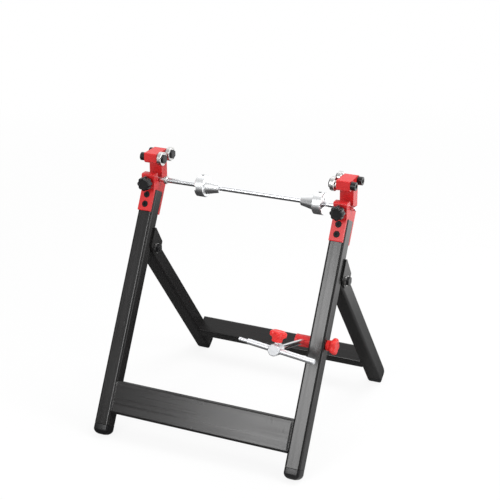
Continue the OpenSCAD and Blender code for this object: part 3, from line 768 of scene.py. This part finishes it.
class STAND_OT_clamp_knobs(bpy.types.Operator):
    """Mould the lobed clamp knobs and thread their studs."""

    bl_idname = "stand.clamp_knobs"
    bl_label = "Clamp Knobs"

    def execute(self, context):
        s = sizes()
        for side in ("left", "right"):
            knob, stud = f"clamp_knob_{side}", f"clamp_stud_{side}"
            low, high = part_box(knob)
            centre, thick = (low + high) / 2, high.y - low.y
            levels = [(z * MM, share, flute) for z, share, flute in KNOB_INNER]
            levels += [(thick - z * MM, share, flute) for z, share, flute in KNOB_OUTER]
            bm = bmesh.new()
            fluted(bm, s.knob / 2, levels, lobes=8, depth=0.13, roundness=1.4)
            add_piece(f"clamp_grip_{side}", bm, knob, "black_plastic", (knob,),
                      matrix=along_minus_y((centre.x, high.y, centre.z)))
            low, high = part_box(stud)
            centre = (low + high) / 2
            bm = bmesh.new()
            lathe(bm, thread_outline((high.x - low.x) / 2, 0, high.y - low.y, s.thread_pitch,
                                     depth=0.45 * MM, ease=0.6 * MM), steps=32)
            add_piece(f"clamp_thread_{side}", bm, stud, "plain_steel", (stud,),
                      matrix=along_minus_y((centre.x, high.y, centre.z)))
        return {"FINISHED"}


class STAND_OT_shaft(bpy.types.Operator):
    """Dress the cones, their set screws and the stop ring on the shaft."""

    bl_idname = "stand.shaft"
    bl_label = "Shaft and Cones"

    def execute(self, context):
        s = sizes()
        for side in ("left", "right"):
            eased_copy(f"centring_cone_{side}", f"cone_{side}", f"cone_{side}",
                       "turned_aluminium", 0.25 * MM)
            eased_copy(f"cone_grub_{side}", f"cone_set_screw_{side}", f"cone_{side}",
                       "blackened_steel", 0.15 * MM)
        low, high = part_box("shaft_stop_ring")
        half, r = (high.x - low.x) / 2, (high.z - low.z) / 2
        groove, flat, slope = 0.5 * MM, 0.4 * MM, 0.3 * MM
        bm = bmesh.new()
        lathe(bm, [
            (s.shaft_bore, -half), (r - s.edge_round, -half), (r, s.edge_round - half),
            (r, -flat - slope), (r - groove, -flat), (r - groove, flat), (r, flat + slope),
            (r, half - s.edge_round), (r - s.edge_round, half), (s.shaft_bore, half),
            (s.shaft_bore, -half)], steps=48)
        add_piece("stop_collar", bm, "shaft", "plain_steel", ("shaft_stop_ring",),
                  matrix=along_x((low + high) / 2))
        return {"FINISHED"}


class STAND_OT_star_knobs(bpy.types.Operator):
    """Mould the two red star knobs of the truing gauge."""

    bl_idname = "stand.star_knobs"
    bl_label = "Star Knobs"

    def knob(self, name, body, node, matrix):
        """One star knob, with its hub's face at the matrix and its lobes beyond it."""
        s = sizes()
        hub = s.star_hub / s.star
        levels = [(z * MM, hub + more, flute) for z, more, flute in STAR_HUB]
        levels += [(z * MM, share, flute) for z, share, flute in STAR_LOBES]
        bm = bmesh.new()
        fluted(bm, s.star / 2, levels, lobes=5, depth=0.21, roundness=1.1)
        add_piece(name, bm, body, "red_plastic", (node,), matrix=matrix)

    def execute(self, context):
        s = sizes()
        low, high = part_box("gauge_star_knob")
        bolt = centre_of("gauge_bolt")
        self.knob("gauge_grip", "gauge_knob", "gauge_star_knob",
                  along_x((low.x, bolt.y, bolt.z)))
        lift = Matrix.Translation((0, 0, s.star_lift))
        self.knob("cross_clamp_grip", "cross_clamp_knob", "cross_clamp_knob",
                  on_cross() @ lift)
        return {"FINISHED"}


class STAND_OT_gauge(bpy.types.Operator):
    """Dress the clamp block, cross clamp, screws and pointer of the truing gauge."""

    bl_idname = "stand.gauge"
    bl_label = "Truing Gauge"

    def execute(self, context):
        s, c = sizes(), colours()
        cross, place, quarter = tuple(cross_centre()), on_cross(), math.pi / 2
        eased_copy("grooved_block", "gauge_clamp_block", "gauge_block", "red_paint", 0.5 * MM)
        turned_clamp = turned_metal("turned_clamp", c.dull_aluminium, 0.46, cross,
                                    (quarter - s.arm_tilt, 0, 0))
        eased_copy("cross_clamp_body", "cross_clamp", "cross_clamp", "turned_aluminium",
                   s.screw_edge, material=turned_clamp)
        frame["nodes"]["pointer_rod"].data.materials[0] = turned_metal(
            "drawn_pointer", c.dull_aluminium, 0.48, cross, (0, quarter + s.clamp_roll, 0))
        bm = bmesh.new()
        lathe(bm, thread_outline(s.tip, 0, s.tip_length, s.thread_pitch * 1.25,
                                 depth=0.5 * MM, ease=0.9 * MM), steps=32)
        add_piece("pointer_thread", bm, "pointer", "bright_steel", ("pointer_tip",),
                  matrix=place @ along_x((-s.tip_reach, 0, 0)))
        bm = bmesh.new()
        lathe(bm, thread_outline(s.clamp_screw, s.clamp_screw_low, s.clamp_screw_high,
                                 s.thread_pitch, depth=0.4 * MM, ease=0.5 * MM), steps=32)
        add_piece("cross_clamp_thread", bm, "clamp_screw", "bright_steel",
                  ("cross_clamp_screw",), matrix=place)
        return {"FINISHED"}


class STAND_OT_stage(bpy.types.Operator):
    """Set the floor, the lamps, the world and the camera."""

    bl_idname = "stand.stage"
    bl_label = "Stage"

    def floor(self):
        """A white sweep that keeps the shadow, and glows less in what mirrors it."""
        bm = bmesh.new()
        bmesh.ops.create_grid(bm, x_segments=1, y_segments=1, size=6.0)
        mesh = bpy.data.meshes.new("floor")
        bm.to_mesh(mesh)
        bm.free()
        floor = bpy.data.objects.new("floor", mesh)
        bpy.context.scene.collection.objects.link(floor)
        finish = Finish("pale_floor", {"Base Color": (0.84, 0.84, 0.84, 1), "Roughness": 0.9,
                                       "Specular IOR Level": 0.0})
        glossy, seen, through = (
            finish.add("ShaderNodeLightPath", {}, {}, f"Is {kind} Ray")
            for kind in ("Glossy", "Camera", "Transmission"))
        point = finish.place()
        away = finish.add("ShaderNodeVectorMath", {"operation": "LENGTH"}, {0: point}, 1)
        far = finish.ramp(away / 2, 0.35, 1.0)
        right = finish.ramp(finish.along(point, (1, -0.2, 0)), 0.10, 0.20)
        bright = finish.ramp(finish.along(point, (1, 0, 0)), 0.34, 0.50)
        glow = finish.add("ShaderNodeEmission", {}, {"Color": (1, 1, 1, 1), "Strength": 1.0})
        sheen = finish.add("ShaderNodeEmission", {}, {
            "Color": 0.08 + far * 0.8 + right * 0.36 + bright * 1.5, "Strength": 1.0})
        lit = finish.add("ShaderNodeMixShader", {}, {
            0: (seen + through) * (0.88 + far * 0.12),
            1: Value(finish, finish.shader.outputs[0]), 2: glow})
        blend = finish.add("ShaderNodeMixShader", {}, {0: glossy, 1: lit, 2: sheen})
        finish.feed(finish.tree.nodes["Material Output"].inputs["Surface"], blend)
        mesh.materials.append(finish.material)

    def world(self):
        """White to the camera; in gloss, white behind and above and dark towards the room."""
        world = bpy.data.worlds.new("studio")
        bpy.context.scene.world = world
        world.use_nodes = True
        world.node_tree.nodes.clear()
        sky = Graph(world.node_tree)
        glossy, seen, through, soft = (
            sky.add("ShaderNodeLightPath", {}, {}, f"Is {kind} Ray")
            for kind in ("Glossy", "Camera", "Transmission", "Diffuse"))
        direction = sky.add("ShaderNodeTexCoord", {}, {}, "Generated")
        behind = sky.ramp(sky.along(direction, (0, 0.5, 0)) + 0.5, 0.38, 0.78)
        above = sky.ramp(sky.along(direction, (0, 0, 1)), 0.36, 0.60)
        mirrored = glossy * (0.12 + behind * 0.88 + above * 0.6)
        soaked = soft * (0.14 + above * 0.6)
        light = sky.add("ShaderNodeBackground", {}, {
            "Color": seen + through + mirrored + soaked, "Strength": 1.0})
        sky.add("ShaderNodeOutputWorld", {}, {"Surface": light}, None)

    def lamp(self, name, place, target, size, power, height=None):
        """A rectangular soft lamp that faces its target; sizes in metres, power in watts."""
        light = bpy.data.lights.new(name, "AREA")
        light.shape = "RECTANGLE"
        light.size = size
        light.size_y = height or size
        light.energy = power
        lamp = bpy.data.objects.new(name, light)
        bpy.context.scene.collection.objects.link(lamp)
        lamp.location = place
        aim = Vector(target) - Vector(place)
        lamp.rotation_euler = aim.to_track_quat("-Z", "Y").to_euler()

    def camera(self):
        """The camera, placed and turned as the photograph's perspective gives it."""
        place = Vector((0.8374, -1.7981, 1.0654))
        yaw, pitch, roll = -0.4341, 0.3766, -0.0017
        focal_pixels, picture_pixels, sensor = 1359.7, 500, 36
        data = bpy.data.cameras.new("view")
        data.sensor_width = sensor
        data.lens = focal_pixels * sensor / picture_pixels
        data.clip_end = 50
        camera = bpy.data.objects.new("view", data)
        bpy.context.scene.collection.objects.link(camera)
        look = Vector((math.sin(yaw) * math.cos(pitch), math.cos(yaw) * math.cos(pitch),
                       -math.sin(pitch)))
        right = Vector((math.cos(yaw), -math.sin(yaw), 0))
        turn = Matrix((right, right.cross(look), -look)).transposed().to_4x4()
        tip = Matrix.Rotation(roll, 4, "Z")
        camera.matrix_world = Matrix.Translation(place) @ turn @ tip
        bpy.context.scene.camera = camera

    def execute(self, context):
        self.floor()
        self.world()
        self.lamp("key", (-0.52, -2.0, 1.16), (0, -0.05, 0.2), size=0.7, power=19, height=0.92)
        self.lamp("fill", (1.9, -0.3, 1.3), (0, 0, 0.2), size=1.0, power=16)
        self.lamp("top", (0.5, 0.5, 2.1), (0, 0, 0.1), size=1.2, power=22)
        self.camera()
        context.scene.view_settings.view_transform = "Standard"
        return {"FINISHED"}


class STAND_PT_looks(bpy.types.Panel):
    """Shows the stand's operators, sizes and colours in the sidebar."""

    bl_idname = "STAND_PT_looks"
    bl_label = "Balancing Stand"
    bl_space_type = "VIEW_3D"
    bl_region_type = "UI"
    bl_category = "Stand"

    def draw(self, context):
        for operator in OPERATORS:
            self.layout.operator(operator.bl_idname)
        for group in (context.scene.stand_sizes, context.scene.stand_colours):
            box = self.layout.box()
            for key in group.__annotations__:
                box.prop(group, key)


OPERATORS = (
    STAND_OT_finishes,
    STAND_OT_heads,
    STAND_OT_fasteners,
    STAND_OT_foot_caps,
    STAND_OT_weld_beads,
    STAND_OT_bearings,
    STAND_OT_clamp_knobs,
    STAND_OT_shaft,
    STAND_OT_star_knobs,
    STAND_OT_gauge,
    STAND_OT_stage,
)
CLASSES = (StandSizes, StandColours, *OPERATORS, STAND_PT_looks)


def register():
    for cls in CLASSES:
        bpy.utils.register_class(cls)
    bpy.types.Scene.stand_sizes = bpy.props.PointerProperty(type=StandSizes)
    bpy.types.Scene.stand_colours = bpy.props.PointerProperty(type=StandColours)


def unregister():
    del bpy.types.Scene.stand_sizes
    del bpy.types.Scene.stand_colours
    for cls in reversed(CLASSES):
        bpy.utils.unregister_class(cls)


def main():
    register()
    for operator in OPERATORS:
        group, name = operator.bl_idname.split(".")
        getattr(getattr(bpy.ops, group), name)()


if __name__ == "__main__":
    main()
